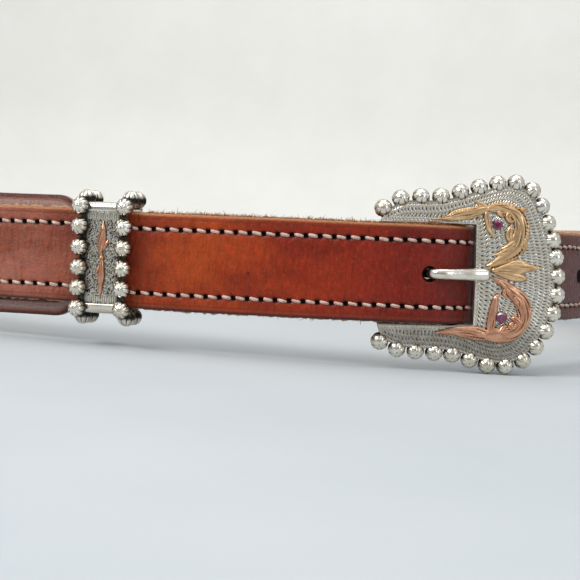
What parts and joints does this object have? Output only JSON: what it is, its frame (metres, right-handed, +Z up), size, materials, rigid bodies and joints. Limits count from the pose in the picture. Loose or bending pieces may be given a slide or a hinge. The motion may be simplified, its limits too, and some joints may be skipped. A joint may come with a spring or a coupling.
{
  "type": "western belt",
  "caption": "Fastened ranger-style leather belt with a beaded silver buckle, gold leaf scrolls and a beaded silver keeper",
  "frame": {"origin": "middle of the bounding box in plan, at the height of the surface that the belt stands on", "axes": "+X to the right along the front of the belt as it is looked at, +Y from the front to the back of the loop, +Z up"},
  "size_m": [0.2898, 0.2784, 0.0522],
  "materials": {
    "top_leather": "glossy saddle leather, orange brown to deep red brown, with burnished edges",
    "lining_leather": "undyed tan lining leather, raw at the edges",
    "silver": "engraved silver, dark in its recesses",
    "rose_gold": "engraved rose gold",
    "gem": "pink purple cut stone"
  },
  "bodies": {
    "root": {"belt_strap": "top_leather", "belt_lining": "lining_leather", "buckle_frame": "silver", "buckle_prong": "silver", "scroll_upper": "rose_gold", "scroll_lower": "rose_gold", "center_leaf": "rose_gold", "stone_upper": "gem", "stone_lower": "gem", "keeper_loop": "silver", "keeper_leaf": "rose_gold"}
  },
  "joints": []
}
